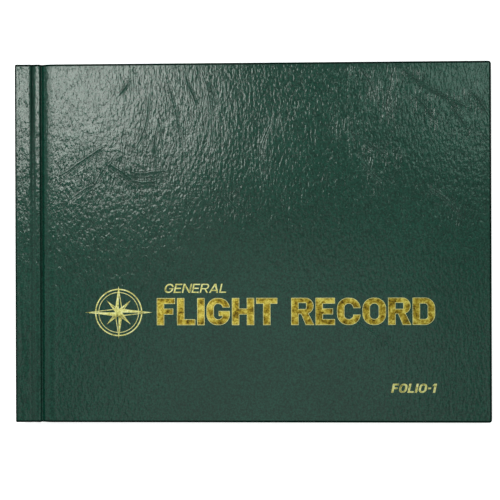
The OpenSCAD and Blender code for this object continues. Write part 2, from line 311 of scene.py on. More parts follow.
def cover_relief(x, y, seed=0):
    """How far the leatherette lies below its nominal face: creases, pulls and a faint waviness."""
    width = FORE_X - SPINE_X
    total = np.zeros_like(x)
    for k, (cx, cy, radius, angle, gap, length) in enumerate(CREASE_PATCHES):
        px = SPINE_X + cx * width
        py = -HALF_Y + cy * 2 * HALF_Y
        if seed:
            px, angle = SPINE_X + (1.08 - cx) * width, 180 - angle
        away = np.hypot(x - px, y - py) / (radius * MM)
        patch = 1 - smooth(0.35, 1.0, away)
        total += PATCH_DEEP * patch * creases(x, y, angle, gap, length, seed + 11 * k + 1)
    total += long_creases(x, y, bool(seed))
    wave = (noise(x / (38 * MM), y / (38 * MM), seed + 401)
            + 0.5 * noise(x / (15 * MM), y / (15 * MM), seed + 402))
    total += WAVE_DEEP * (wave + 1)
    grain = noise(x / (2.3 * MM), y / (2.6 * MM), seed + 403)
    total += GRAIN_DEEP * (grain + 0.7)
    total += SINK
    return np.maximum(total, 0) * edge_fade(x, y)


def edge_fade(x, y):
    """0 at the edges of a cover and beside its joint, 1 inside."""
    room = np.minimum(HALF_Y - np.abs(y), np.minimum(FORE_X - x, np.abs(x - HINGE_B)))
    return smooth(0.6 * MM, 4 * MM, room)


def stamped(x, y, reach=2.5 * MM):
    """1 where the foil was stamped and the leatherette pressed flat, 0 away from it."""
    flat = np.zeros_like(x)
    for node in FOIL_NODES:
        low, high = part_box(node)
        gap_x = np.maximum(np.maximum(low.x - x, x - high.x), 0)
        gap_y = np.maximum(np.maximum(low.y - y, y - high.y), 0)
        flat = np.maximum(flat, 1 - smooth(0.3 * MM, reach, np.hypot(gap_x, gap_y)))
    return flat


# ---------------------------------------------------------------- meshes

def add_rest(mesh):
    """Keeps each point's place at rest, so that a material stays put when the piece bends."""
    co = np.zeros(len(mesh.vertices) * 3, np.float32)
    mesh.vertices.foreach_get("co", co)
    rest = mesh.attributes.get("rest") or mesh.attributes.new("rest", "FLOAT_VECTOR", "POINT")
    rest.data.foreach_set("vector", co)


def piece_from(name, verts, faces, materials, face_slots=None, smooth_shade=True):
    mesh = bpy.data.meshes.new(name)
    mesh.from_pydata([tuple(v) for v in verts], [], faces)
    mesh.update()
    for m in materials:
        mesh.materials.append(m)
    if face_slots is not None:
        mesh.polygons.foreach_set("material_index", face_slots)
    mesh.polygons.foreach_set("use_smooth", [smooth_shade] * len(mesh.polygons))
    obj = bpy.data.objects.new(name, mesh)
    bpy.context.scene.collection.objects.link(obj)
    add_rest(mesh)
    return obj


def spaced(low, high, step, fine=None, fine_at=()):
    """Values from low to high about step apart, and fine apart close to the ends named in fine_at."""
    reach = 2.4 * MM
    inner_low = low + reach if "low" in fine_at else low
    inner_high = high - reach if "high" in fine_at else high
    parts = []
    if "low" in fine_at:
        parts.append(np.linspace(low, inner_low, round(reach / fine) + 1)[:-1])
    parts.append(np.linspace(inner_low, inner_high, max(2, round((inner_high - inner_low) / step) + 1)))
    if "high" in fine_at:
        parts.append(np.linspace(inner_high, high, round(reach / fine) + 1)[1:])
    return np.concatenate(parts)


def pad_to(values, multiple):
    """Splits the widest gaps until the number of gaps is a multiple."""
    values = list(values)
    while (len(values) - 1) % multiple:
        gaps = np.diff(values)
        k = int(np.argmax(gaps))
        values.insert(k + 1, (values[k] + values[k + 1]) / 2)
    return np.array(values)


def arc(cx, cz, r, start, end, count):
    angles = np.radians(np.linspace(start, end, count))
    return [(cx + r * math.cos(a), cz + r * math.sin(a)) for a in angles]


def round_corner(x, y, radius):
    """Moves points near the two fore-edge corners, so that they are round in plan."""
    a = x - (FORE_X - radius)
    b = np.abs(y) - (HALF_Y - radius)
    near = (a > 0) & (b > 0)
    a2, b2 = np.clip(a, 0, radius), np.clip(b, 0, radius)
    new_a = a2 * np.sqrt(1 - b2 ** 2 / (2 * radius ** 2))
    new_b = b2 * np.sqrt(1 - a2 ** 2 / (2 * radius ** 2))
    x2 = np.where(near, FORE_X - radius + new_a, x)
    y2 = np.where(near, np.sign(y) * (HALF_Y - radius + new_b), y)
    return x2, y2


# Radii of the board's edge, of the fold under it and of the cover's corners in plan; how far the
# turn-in and the inner face end from the edge; the cloth's share of the board's depth; and how many
# outer faces go to one inner face
EDGE_R = 0.75 * MM
FOLD_R = 0.3 * MM
CORNER_R = 1.3 * MM
TURN_IN = 15 * MM
BACK_IN = 0.6 * MM
CLOTH_SHARE = 0.14
COARSE = 4

# Where painted shade darkens the leatherette: along the flat face's border, round the spine's corner, in the
# pressed crease and in the groove beside the strip.
# Then how strong that painted shade is on the rings of the fold.
BORDER = 0.35 * MM
SPINE_ARC = 0.5 * MM
SPINE_RIM = 1.0 * MM
CREASE_DARK = CREASE_MID - 0.3 * MM
VALLEY_DARK = STRIP_END + 0.4 * MM
RIM_SHADE_BY_RING = {"top": 1.0, "wall": 0.4, "foot": 0.6}


def painted_shade_strength(points, fore_edge):
    """Strength of the painted shade on the leatherette: 1 at the border of the flat face, 0 a little way in.
    On the spine's skin it also falls round the spine's corner, in the pressed crease and in the groove.
    """
    room = HALF_Y - EDGE_R - np.abs(points[:, 1])
    if fore_edge:
        room = np.minimum(room, FORE_X - EDGE_R - points[:, 0])
    else:
        # Painted shade round the spine's corner, in the pressed crease near the head and in the groove beside
        # the strip.
        at_spine = 1 - smooth(SPINE_ARC, SPINE_RIM, points[:, 0] - SPINE_X)
        at_spine *= smooth(BOOK_T - 2.4 * MM, BOOK_T - 0.8 * MM, points[:, 2])
        pressed = np.exp(-(((points[:, 0] - CREASE_DARK) / (0.9 * MM)) ** 2)) * (points[:, 0] < BEAD_TOP)
        pressed = 0.75 * pressed * smooth(0.1 * HALF_Y, 0.9 * HALF_Y, points[:, 1])
        in_valley = np.exp(-(((points[:, 0] - VALLEY_DARK) / (0.5 * MM)) ** 2))
        in_valley *= 0.48 * smooth(-0.9 * HALF_Y, 0.3 * HALF_Y, points[:, 1])
        at_border = 1 - smooth(0.0, BORDER, room)
        return np.maximum(np.maximum(at_border, at_spine), np.maximum(pressed, in_valley))
    return 1 - smooth(0.0, BORDER, room)


def add_vectors(mesh, name, rows):
    attribute = mesh.attributes.new(name, "FLOAT_VECTOR", "POINT")
    attribute.data.foreach_set("vector", np.asarray(rows, np.float32).ravel())


def cloth_shell(name, path, inner, ys, fore_edge, relief, fields, flip, material):
    """A closed skin of leatherette. path is its outer face in X and Z from one cut to the next,
    inner the face of the board under each point, and ys the rows from tail to head. It is folded
    round the head and the tail, and round the fore-edge where there is one."""
    path, inner = np.array(path), np.array(inner)
    n, m = len(path), len(ys)
    tangent = np.gradient(path, axis=0)
    tangent /= np.linalg.norm(tangent, axis=1)[:, None]
    normal = np.stack([-tangent[:, 1], tangent[:, 0]], 1)
    depth = np.linalg.norm(inner - path, axis=1)
    down = (inner - path) / depth[:, None]

    xs = np.repeat(path[:, 0], m)
    yy = np.tile(ys, n)
    low = relief(xs, yy)
    outer = np.stack([
        xs - np.repeat(normal[:, 0], m) * low,
        yy,
        np.repeat(path[:, 1], m) - np.repeat(normal[:, 1], m) * low,
    ], 1)
    if fore_edge:
        outer[:, 0], outer[:, 1] = round_corner(outer[:, 0], outer[:, 1], CORNER_R)
    verts = [outer]
    faces = [
        (i * m + j, (i + 1) * m + j, (i + 1) * m + j + 1, i * m + j + 1)
        for i in range(n - 1) for j in range(m - 1)
    ]

    head = [(i, m - 1) for i in range(n)]
    tail = [(i, 0) for i in range(n - 1, -1, -1)]
    if fore_edge:
        runs = [head + [(n - 1, j) for j in range(m - 2, 0, -1)] + tail]
    else:
        runs = [head, tail]

    # Each ring: distance out from the edge of the flat face, distance down as a
    # share or a length, distance in from the outermost edge
    rings = [("top", math.sin(a), 1 - math.cos(a), 0) for a in np.radians((30, 60, 90))]
    rings.append(("wall", 1, 0.5, 0))
    rings += [("foot", math.cos(a), math.sin(a), 0) for a in np.radians((0, 45, 90))]
    rings += [("under", 0, 1, d * MM) for d in (2, 6, 11, 14.6)]
    rings += [("under", 0, 0.945, TURN_IN), ("back", 0, 0.94, BACK_IN), ("back", 0, CLOTH_SHARE, BACK_IN)]

    seam_x = path[0, 0]
    total = n * m
    last = []
    # Strength of the painted shade at each point: the flat face first, then ring by ring round the fold.
    rim = [painted_shade_strength(outer, fore_edge)]
    for run in runs:
        ii = np.array([p[0] for p in run])
        jj = np.array([p[1] for p in run])
        p0, dn, dp = path[ii], down[ii], depth[ii]
        side = np.where(jj == m - 1, 1, np.where(jj == 0, -1, 0))
        fore = (ii == n - 1) if fore_edge else np.zeros(len(ii), bool)
        r_top = np.minimum(EDGE_R, 0.45 * dp)
        r_foot = np.minimum(FOLD_R, 0.3 * dp)
        previous = ii * m + jj
        for kind, out, share, d in rings:
            if kind == "top":
                o, q = EDGE_R * out, r_top * share
            elif kind == "foot":
                o, q = EDGE_R - r_foot * (1 - out), dp - r_foot * (1 - share)
            else:
                o, q = EDGE_R, dp * share
            x = p0[:, 0] + dn[:, 0] * q + np.where(fore, o, 0)
            z = p0[:, 1] + dn[:, 1] * q
            y = ys[jj] + side * o
            if fore_edge:
                x, y = round_corner(x, y, CORNER_R)
                x = seam_x + (x - seam_x) * (FORE_X - d - seam_x) / (FORE_X - seam_x)
            y = y * (HALF_Y - d) / HALF_Y
            if kind == "under" and fore_edge:
                z = z - np.where(fore & (side == 0) & (d > MM), 0.05 * MM, 0)
            verts.append(np.stack([x, y, z], 1))
            rim.append(np.full(len(run), RIM_SHADE_BY_RING.get(kind, 0.0)))
            ring = np.arange(total, total + len(run))
            total += len(run)
            for k in range(len(run) - 1):
                faces.append((previous[k], ring[k], ring[k + 1], previous[k + 1]))
            previous = ring
        last.append(dict(zip(run, previous)))

    rim = np.concatenate(rim)

    # The inner face, coarser, joined to the last ring
    on_ring = {}
    for ring in last:
        on_ring.update(ring)
    grid = {}
    extra = []
    for i in range(0, n, COARSE):
        for j in range(0, m, COARSE):
            if (i, j) in on_ring:
                grid[i, j] = on_ring[i, j]
                continue
            x, z = path[i] + down[i] * depth[i] * CLOTH_SHARE
            if fore_edge:
                x = seam_x + (x - seam_x) * (FORE_X - BACK_IN - seam_x) / (FORE_X - seam_x)
            extra.append((x, ys[j] * (HALF_Y - BACK_IN) / HALF_Y, z))
            grid[i, j] = total
            total += 1
    verts.append(np.array(extra))

    def between(a, b):
        """The ring's points from a to b, ends left out."""
        (i0, j0), (i1, j1) = a, b
        steps = max(abs(i1 - i0), abs(j1 - j0))
        found = []
        for k in range(1, steps):
            p = (i0 + (i1 - i0) * k // steps, j0 + (j1 - j0) * k // steps)
            if p not in on_ring:
                return []
            found.append(on_ring[p])
        return found

    for i in range(0, n - 1, COARSE):
        for j in range(0, m - 1, COARSE):
            corners = [(i, j), (i, j + COARSE), (i + COARSE, j + COARSE), (i + COARSE, j)]
            loop = []
            for a, b in zip(corners, corners[1:] + corners[:1]):
                loop.append(grid[a])
                on_side = (
                    (a[1] == b[1] and a[1] in (0, m - 1)) or
                    (fore_edge and a[0] == b[0] == n - 1)
                )
                if on_side:
                    loop += between(a, b)
            faces.append(tuple(loop))

    verts = np.concatenate(verts)
    if flip:
        verts[:, 2] = BOOK_T - verts[:, 2]
    obj = piece_from(name, verts, faces, [material])
    # The rim attribute carries the painted shade to the leatherette's colour.
    mark = np.zeros(len(verts), np.float32)
    mark[:len(rim)] = rim
    attribute = obj.data.attributes.new("rim", "FLOAT", "POINT")
    attribute.data.foreach_set("value", mark)
    wrinkles = np.zeros((len(verts), 3), np.float32)
    wrinkles[:n * m] = fields(xs, yy)
    add_vectors(obj.data, "wrinkles", wrinkles)
    lines = np.zeros((len(verts), 3), np.float32)
    if fore_edge:
        lines[:n * m] = crease_lines(xs, yy, flip)
    add_vectors(obj.data, "crease_lines", lines)
    close_mesh(obj)
    return obj


def close_mesh(obj):
    """Fills the cuts of a shell, keeps their edges sharp and turns all its faces outwards."""
    bm = bmesh.new()
    bm.from_mesh(obj.data)
    open_edges = [e for e in bm.edges if len(e.link_faces) == 1]
    for edge in open_edges:
        edge.smooth = False
    bmesh.ops.holes_fill(bm, edges=open_edges, sides=0)
    big = [f for f in bm.faces if len(f.verts) > 4]
    bmesh.ops.triangulate(bm, faces=big, ngon_method="EAR_CLIP")
    bmesh.ops.recalc_face_normals(bm, faces=bm.faces)
    bm.to_mesh(obj.data)
    bm.free()
    obj.data.update()
    add_rest(obj.data)


# ---------------------------------------------------------------- node helpers

def new_material(name):
    mat = bpy.data.materials.new(name)
    mat.use_nodes = True
    nodes = mat.node_tree.nodes
    return mat, mat.node_tree, nodes["Principled BSDF"]


def attribute_node(tree, name):
    """Outputs of a value that the mesh stores at each point."""
    node = tree.nodes.new("ShaderNodeAttribute")
    node.attribute_name = name
    return node.outputs


def axes_of(tree, vector):
    """The X, Y and Z outputs of a vector."""
    node = tree.nodes.new("ShaderNodeSeparateXYZ")
    tree.links.new(vector, node.inputs[0])
    return node.outputs


def rest_coords(tree, scale=(1, 1, 1), rotation=0.0):
    """Each point's place at rest, scaled and turned about Z."""
    mapping = tree.nodes.new("ShaderNodeMapping")
    mapping.inputs["Scale"].default_value = scale
    mapping.inputs["Rotation"].default_value = (0, 0, rotation)
    tree.links.new(attribute_node(tree, "rest")["Vector"], mapping.inputs["Vector"])
    return mapping.outputs["Vector"]


def object_coords(tree):
    return tree.nodes.new("ShaderNodeTexCoord").outputs["Object"]


def noise_node(tree, vector, scale, detail=3.0, roughness=0.55, distortion=0.0):
    node = tree.nodes.new("ShaderNodeTexNoise")
    node.inputs["Scale"].default_value = scale
    node.inputs["Detail"].default_value = detail
    node.inputs["Roughness"].default_value = roughness
    node.inputs["Distortion"].default_value = distortion
    tree.links.new(vector, node.inputs["Vector"])
    return node.outputs["Fac"]


def voronoi_node(tree, vector, scale, feature="F1", randomness=1.0):
    node = tree.nodes.new("ShaderNodeTexVoronoi")
    node.feature = feature
    node.inputs["Scale"].default_value = scale
    node.inputs["Randomness"].default_value = randomness
    tree.links.new(vector, node.inputs["Vector"])
    return node.outputs["Distance"]


def ramp(tree, value, *stops):
    node = tree.nodes.new("ShaderNodeValToRGB")
    elements = node.color_ramp.elements
    while len(elements) < len(stops):
        elements.new(0.5)
    for element, (place, colour) in zip(elements, stops):
        element.position = place
        element.color = (*colour, 1) if len(colour) == 3 else colour
    tree.links.new(value, node.inputs["Fac"])
    return node.outputs["Color"]


def grey(v):
    return (v, v, v)


def math_node(tree, operation, a, b=None, c=None):
    node = tree.nodes.new("ShaderNodeMath")
    node.operation = operation
    for socket, value in zip(node.inputs, (a, b, c)):
        if value is None:
            continue
        if isinstance(value, (int, float)):
            socket.default_value = value
        else:
            tree.links.new(value, socket)
    return node.outputs[0]


def remap(tree, value, from_low, from_high, to_low, to_high):
    node = tree.nodes.new("ShaderNodeMapRange")
    numbers = (from_low, from_high, to_low, to_high)
    for key, number in zip(("From Min", "From Max", "To Min", "To Max"), numbers):
        node.inputs[key].default_value = number
    tree.links.new(value, node.inputs["Value"])
    return node.outputs["Result"]


def mix(tree, factor, a, b, mode="MIX"):
    node = tree.nodes.new("ShaderNodeMix")
    node.data_type = "RGBA"
    node.blend_type = mode
    sockets = node.inputs[6], node.inputs[7]
    for socket, value in zip(sockets, (a, b)):
        if isinstance(value, tuple):
            socket.default_value = (*value, 1)
        else:
            tree.links.new(value, socket)
    if isinstance(factor, (int, float)):
        node.inputs[0].default_value = factor
    else:
        tree.links.new(factor, node.inputs[0])
    return node.outputs[2]


def bump(tree, height, distance, strength=1.0):
    node = tree.nodes.new("ShaderNodeBump")
    node.inputs["Strength"].default_value = strength
    node.inputs["Distance"].default_value = distance
    tree.links.new(height, node.inputs["Height"])
    return node.outputs["Normal"]


# ---------------------------------------------------------------- materials

def ridged(tree, vector, scale, width):
    """1 along the thin winding lines where a noise crosses its middle, 0 away from them."""
    n = noise_node(tree, vector, scale, 1.5, 0.5, 0.25)
    off = math_node(tree, "ABSOLUTE", math_node(tree, "SUBTRACT", n, 0.5))
    return remap(tree, off, 0.0, width, 1, 0)


# How much each mark adds to the leatherette's height, and the bump's depth
PEBBLE_WEIGHT = -0.14
GRAIN_WEIGHT = 0.95
WRINKLE_WEIGHT = -0.34
LINE_WEIGHT = -0.46
LEATHERETTE_BUMP = 0.00020
# The fine wrinkles: which axis of the "wrinkles" attribute gives their strength, their lean in degrees
WRINKLE_LEANS = (("X", 3), ("Y", -38), ("Z", 42))
# A crease's shading in millimetres from its middle: place, half width, strength
SECOND_LINE = (1.05, 0.22, 0.6)
CREASE_LIP = (0.5, 0.24, 0.5)
# Colour of the painted shade at the folds, crease and groove, and its share where the rim attribute is 1.
RIM_SHADE_COLOUR = (0.002, 0.004, 0.0035)
RIM_SHADE_SHARE = 0.85


def line_at(tree, gap, place, half, strength):
    """A soft line at a distance from a crease's middle."""
    off = math_node(tree, "ABSOLUTE", math_node(tree, "SUBTRACT", gap, place))
    return remap(tree, off, 0.0, half, strength, 0)


def make_leatherette():
    """Green paper-backed leatherette: slanting grain, fine wrinkles in bundles, painted shade at its folds,
    in the crease and in the groove.
    """
    mat, tree, shader = new_material("leatherette_green")
    plain = rest_coords(tree)
    slanted = rest_coords(tree, (1, 0.5, 1), math.radians(-30))
    upright = rest_coords(tree, (1, 0.45, 1), math.radians(-4))
    wobble = noise_node(tree, plain, 260, 2, 0.5)
    patches = noise_node(tree, plain, 22, 3, 0.5)
    to_right = remap(tree, axes_of(tree, plain)["X"], -0.05, 0.02, 0, 1)
    grain = mix(tree, to_right, noise_node(tree, slanted, 760, 2, 0.45, 0.3),
                noise_node(tree, upright, 820, 2, 0.45, 0.3))
    pebble = voronoi_node(tree, plain, 820)
    height = math_node(tree, "MULTIPLY_ADD", pebble, PEBBLE_WEIGHT,
                       math_node(tree, "MULTIPLY", grain, GRAIN_WEIGHT))

    strengths = axes_of(tree, attribute_node(tree, "wrinkles")["Vector"])
    for axis, degrees in WRINKLE_LEANS:
        lines = ridged(tree, rest_coords(tree, (1, 0.16, 1), math.radians(degrees)), 520, 0.075)
        shown = math_node(tree, "MULTIPLY", lines, strengths[axis])
        height = math_node(tree, "MULTIPLY_ADD", shown, WRINKLE_WEIGHT, height)
    guide = axes_of(tree, attribute_node(tree, "crease_lines")["Vector"])
    sway = math_node(tree, "MULTIPLY_ADD", noise_node(tree, plain, 330, 2, 0.5), 0.9, -0.45)
    gap = math_node(tree, "ABSOLUTE", math_node(tree, "ADD", guide["X"], sway))
    main = remap(tree, gap, 0.0, 0.26, 1, 0)
    beside = line_at(tree, gap, *SECOND_LINE)
    lip = line_at(tree, gap, *CREASE_LIP)
    both = math_node(tree, "SUBTRACT", math_node(tree, "ADD", main, beside), lip)
    shown = math_node(tree, "MULTIPLY", both, guide["Y"])
    height = math_node(tree, "MULTIPLY_ADD", shown, LINE_WEIGHT, height)
    tree.links.new(bump(tree, height, LEATHERETTE_BUMP), shader.inputs["Normal"])

    broad = ramp(tree, patches, (0.3, (0.0045, 0.0500, 0.0315)), (0.7, (0.0070, 0.0610, 0.0395)))
    mottled = noise_node(tree, plain, 1300, 3, 0.6)
    # Colour darker where the relief is low: partly the grain's own tone, partly painted shade in the wrinkles
    # and crease lines.
    low = ramp(tree, height, (0.1, grey(0.78)), (0.5, grey(1.04)))
    colour = mix(tree, 1.0, broad, low, "MULTIPLY")
    colour = mix(tree, 1.0, colour, ramp(tree, mottled, (0.36, grey(0.58)), (0.64, grey(1.38))), "MULTIPLY")
    # The rim attribute is painted shade, near-black at the fold's border, the spine's corner, the pressed
    # crease and the groove; there it also makes the leatherette rougher and less shiny.
    wear_and_painted_shade = attribute_node(tree, "rim")["Fac"]
    colour = mix(tree, math_node(tree, "MULTIPLY", wear_and_painted_shade, RIM_SHADE_SHARE), colour, RIM_SHADE_COLOUR)
    tree.links.new(colour, shader.inputs["Base Color"])
    rough = remap(tree, wobble, 0.3, 0.7, 0.14, 0.19)
    tree.links.new(math_node(tree, "MULTIPLY_ADD", wear_and_painted_shade, 0.4, rough), shader.inputs["Roughness"])
    tree.links.new(remap(tree, wear_and_painted_shade, 0, 0.8, 0.5, 0.0), shader.inputs["Specular IOR Level"])
    return mat


def make_foil(name, metal, wear_and_painted_shade, middle, bright):
    """Hot-stamped gold: mottled where the press was uneven."""
    mat, tree, shader = new_material(name)
    co = rest_coords(tree)
    blotches = noise_node(tree, co, 330, 4, 0.62, 0.4)
    specks = noise_node(tree, co, 1500, 3, 0.6)
    both = math_node(tree, "MULTIPLY_ADD", specks, 0.35, math_node(tree, "MULTIPLY", blotches, 0.75))
    colour = ramp(tree, both, (0.42, wear_and_painted_shade), (0.54, middle), (0.66, bright))
    tree.links.new(colour, shader.inputs["Base Color"])
    shader.inputs["Metallic"].default_value = metal
    tree.links.new(remap(tree, both, 0.35, 0.7, 0.52, 0.3), shader.inputs["Roughness"])
    tree.links.new(bump(tree, both, 0.00006, 0.5), shader.inputs["Normal"])
    return mat


# The rim's paler, brighter gold is a painted highlight along the edges of the stamped foil.
def make_foil_rim_highlight():
    mat, tree, shader = new_material("gold_foil_rim")
    co = rest_coords(tree)
    specks = noise_node(tree, co, 1800, 3, 0.6)
    colour = ramp(tree, specks, (0.35, (0.80, 0.74, 0.24)), (0.65, (1.0, 0.98, 0.50)))
    tree.links.new(colour, shader.inputs["Base Color"])
    shader.inputs["Metallic"].default_value = 0.5
    tree.links.new(remap(tree, specks, 0.3, 0.7, 0.45, 0.3), shader.inputs["Roughness"])
    return mat


# Ledger ruling in metres; its columns as shares of the page's width from the joint
ROW_PITCH = 6.5 * MM
HEADER = 17 * MM
LINE_HALF = 0.11 * MM
COLUMN_SHARES = (0.09, 0.19, 0.30, 0.38, 0.46, 0.54, 0.62, 0.72, 0.97)


def make_page(name, ruled, tint):
    """Ledger paper with faint fibres. A ruled page has a header band, rows and columns, and no words."""
    mat, tree, shader = new_material(name)
    co = rest_coords(tree)
    fibres = noise_node(tree, rest_coords(tree, (1, 2.4, 1)), 900, 4, 0.65)
    cloud = noise_node(tree, co, 30, 2, 0.5)
    dark = tuple(c * 0.93 for c in tint)
    colour = ramp(tree, fibres, (0.3, dark), (0.7, tint))
    colour = mix(tree, remap(tree, cloud, 0.3, 0.7, 0, 0.25), colour, tuple(c * 0.95 for c in tint))
    if ruled:
        axes = axes_of(tree, co)
        x, y = axes["X"], axes["Y"]
        body_top = LEAF_Y - HEADER
        from_top = math_node(tree, "SUBTRACT", body_top, y)
        phase = math_node(tree, "PINGPONG", from_top, ROW_PITCH / 2)
        row = math_node(tree, "LESS_THAN", phase, LINE_HALF)
        below = math_node(tree, "GREATER_THAN", from_top, -LINE_HALF)
        lines = math_node(tree, "MULTIPLY", row, below)
        page_w = FORE_X - HINGE_B
        for share in COLUMN_SHARES:
            gap = math_node(tree, "ABSOLUTE", math_node(tree, "SUBTRACT", x, HINGE_B + share * page_w))
            lines = math_node(tree, "MAXIMUM", lines, math_node(tree, "LESS_THAN", gap, 1.3 * LINE_HALF))
        edge_y = math_node(tree, "LESS_THAN", math_node(tree, "ABSOLUTE", y), LEAF_Y - 7 * MM)
        lines = math_node(tree, "MULTIPLY", lines, edge_y)
        band = math_node(tree, "MULTIPLY", math_node(tree, "LESS_THAN", from_top, 0), edge_y)
        colour = mix(tree, math_node(tree, "MULTIPLY", band, 0.55), colour, (0.62, 0.76, 0.66))
        colour = mix(tree, math_node(tree, "MULTIPLY", lines, 0.75), colour, (0.16, 0.36, 0.27))
    tree.links.new(colour, shader.inputs["Base Color"])
    shader.inputs["Roughness"].default_value = 0.82
    shader.inputs["Specular IOR Level"].default_value = 0.3
    tree.links.new(bump(tree, fibres, 0.00003, 0.5), shader.inputs["Normal"])
    return mat


def make_plain(name, dark, light, scale, roughness, depth, stretch=(1, 1, 1), metal=0.0):
    """A fibrous matt material for boards, gauze, thread and linings."""
    mat, tree, shader = new_material(name)
    co = tree.nodes.new("ShaderNodeMapping")
    co.inputs["Scale"].default_value = stretch
    tree.links.new(object_coords(tree), co.inputs["Vector"])
    fibres = noise_node(tree, co.outputs["Vector"], scale, 5, 0.7, 0.3)
    tree.links.new(ramp(tree, fibres, (0.32, dark), (0.68, light)), shader.inputs["Base Color"])
    tree.links.new(remap(tree, fibres, 0.3, 0.7, roughness, roughness - 0.12), shader.inputs["Roughness"])
    tree.links.new(bump(tree, fibres, depth, 0.7), shader.inputs["Normal"])
    shader.inputs["Metallic"].default_value = metal
    return mat


def make_gauze():
    """Open starched weave."""
    mat, tree, shader = new_material("mull_gauze")
    axes = axes_of(tree, object_coords(tree))
    half_mesh = 0.4 * MM
    along_x, along_y = (
        remap(tree, math_node(tree, "PINGPONG", axes[axis], half_mesh), 0, half_mesh, 1, 0) for axis in "XY"
    )
    threads = math_node(tree, "MAXIMUM", along_x, along_y)
    colour = ramp(tree, threads, (0.3, (0.42, 0.38, 0.28)), (0.8, (0.78, 0.74, 0.62)))
    tree.links.new(colour, shader.inputs["Base Color"])
    shader.inputs["Roughness"].default_value = 0.9
    tree.links.new(bump(tree, threads, 0.0002, 0.8), shader.inputs["Normal"])
    return mat


LEATHERETTE = make_leatherette()
BROAD_FOIL = make_foil("gold_foil", 0.8, (0.085, 0.050, 0.003), (0.42, 0.285, 0.020), (0.82, 0.68, 0.13))
FINE_FOIL = make_foil("gold_foil_fine", 0.5, (0.20, 0.165, 0.02), (0.74, 0.70, 0.20), (1.0, 0.98, 0.52))
FOIL_RIM_HIGHLIGHT = make_foil_rim_highlight()
PAPER = (0.80, 0.77, 0.68)
ENDPAPER_TINT = (0.84, 0.80, 0.69)
RULED = make_page("ledger_paper_ruled", True, PAPER)
PLAIN_PAGE = make_page("ledger_paper_edge", False, PAPER)
ENDPAPER = make_page("endpaper_cream", False, ENDPAPER_TINT)
GREYBOARD = make_plain("greyboard", (0.19, 0.18, 0.16), (0.34, 0.32, 0.28), 700, 0.92, 0.0001, (1, 1, 5))
KRAFT = make_plain("kraft_lining", (0.30, 0.20, 0.11), (0.46, 0.33, 0.20), 500, 0.85, 0.00005, (1, 5, 1))
THREAD = make_plain("waxed_thread", (0.60, 0.55, 0.43), (0.85, 0.81, 0.70), 2500, 0.6, 0.0002, (1, 3, 3))
BAND_GREEN = make_plain("band_green", (0.012, 0.05, 0.035), (0.03, 0.11, 0.075), 1800, 0.7, 0.0002)
BAND_WHITE = make_plain("band_white", (0.55, 0.52, 0.45), (0.84, 0.81, 0.72), 1800, 0.7, 0.0002)
GAUZE = make_gauze()


# ---------------------------------------------------------------- leatherette pieces

def strip_height(x):
    """Height of the leatherette over the strip: a steep side down into the pressed crease, a slow
    rise to the bead, and a fall to the strip's end."""
    into = np.clip((x - CREASE_START) / (CREASE_MID - CREASE_START), 0, 1)
    out_of = np.clip((x - CREASE_MID) / (BEAD_TOP - CREASE_MID), 0, 1)
    fall = np.clip((x - BEAD_TOP) / (STRIP_END - BEAD_TOP), 0, 1)
    down = CREASE_DEEP * (1 - np.cos(math.pi / 2 * into ** 1.3))
    up = (CREASE_DEEP - BEAD_LOW) * np.sin(math.pi / 2 * out_of)
    return BOOK_T - down + up - BEAD_FALL * fall ** 4


def through(points, step):
    """Points about a step apart on a smooth curve through the given ones."""
    given = np.array(points, float)
    padded = np.vstack([2 * given[0] - given[1], given, 2 * given[-1] - given[-2]])
    out = [tuple(given[0])]
    for k in range(1, len(padded) - 2):
        p0, p1, p2, p3 = padded[k - 1:k + 3]
        count = max(1, round(float(np.linalg.norm(p2 - p1)) / step))
        for t in np.linspace(0, 1, count + 1)[1:]:
            out.append(tuple(0.5 * (
                2 * p1 + (p2 - p0) * t + (2 * p0 - 5 * p1 + 4 * p2 - p3) * t ** 2
                + (3 * p1 - p0 - 3 * p2 + p3) * t ** 3)))
    return out


# The groove is a narrow valley beside the strip with a long slow rise to the board. Each point:
# distance past the strip's end and depth below the book's top, in millimetres
GROOVE_LEFT = ((0.02, 1.20), (0.10, 1.62), (0.36, 1.90), (0.85, 1.78), (1.35, 1.42), (1.90, 1.02))
GROOVE_RIGHT = ((2.9, 0.56), (3.5, 0.38), (4.2, 0.22), (5.0, 0.10), (5.9, 0.03))
GROOVE_MIDDLE = 0.74 * MM
GROOVE_STEP = 0.22 * MM


def valley_points(shape):
    return [(STRIP_END + dx * MM, BOOK_T - deep * MM) for dx, deep in shape]


def spine_side():
    """Outer and inner outlines of the leatherette from the middle of the spine to mid-joint."""
    r = SPINE_ARC
    path, inner = [], []

    def put(point, under):
        path.append(point)
        inner.append(under)

    for z in np.linspace(BOOK_T / 2, BOOK_T - r, 9)[:-1]:
        put((SPINE_X, z), (SPINE_INNER_X, z))
    for p in arc(SPINE_X + r, BOOK_T - r, r, 180, 90, 7):
        put(p, (SPINE_INNER_X, STRIP_UNDER_Z))
    wall_r = 0.5 * MM
    tops = np.linspace(SPINE_X + r, STRIP_END - wall_r, 52)[1:-1]
    for x, z in zip(tops, strip_height(tops)):
        put((x, z), (max(x, SPINE_INNER_X), STRIP_UNDER_Z))
    end_z = float(strip_height(STRIP_END - wall_r)) - 0.01 * MM
    for p in arc(STRIP_END - wall_r, end_z - wall_r, wall_r, 90, 0, 8):
        put(p, (STRIP_END - 0.6 * MM, STRIP_UNDER_Z))
    middle = (MID_JOINT, BOOK_T - GROOVE_MIDDLE)
    curve = through([path[-1]] + valley_points(GROOVE_LEFT) + [middle], GROOVE_STEP)
    for p in curve[1:]:
        under_x = max(p[0] - 0.3 * MM, STRIP_END - 0.3 * MM) if p[0] < STRIP_END + 0.5 * MM else p[0]
        put(p, (under_x, JOINT_UNDER_Z))
    return path, inner


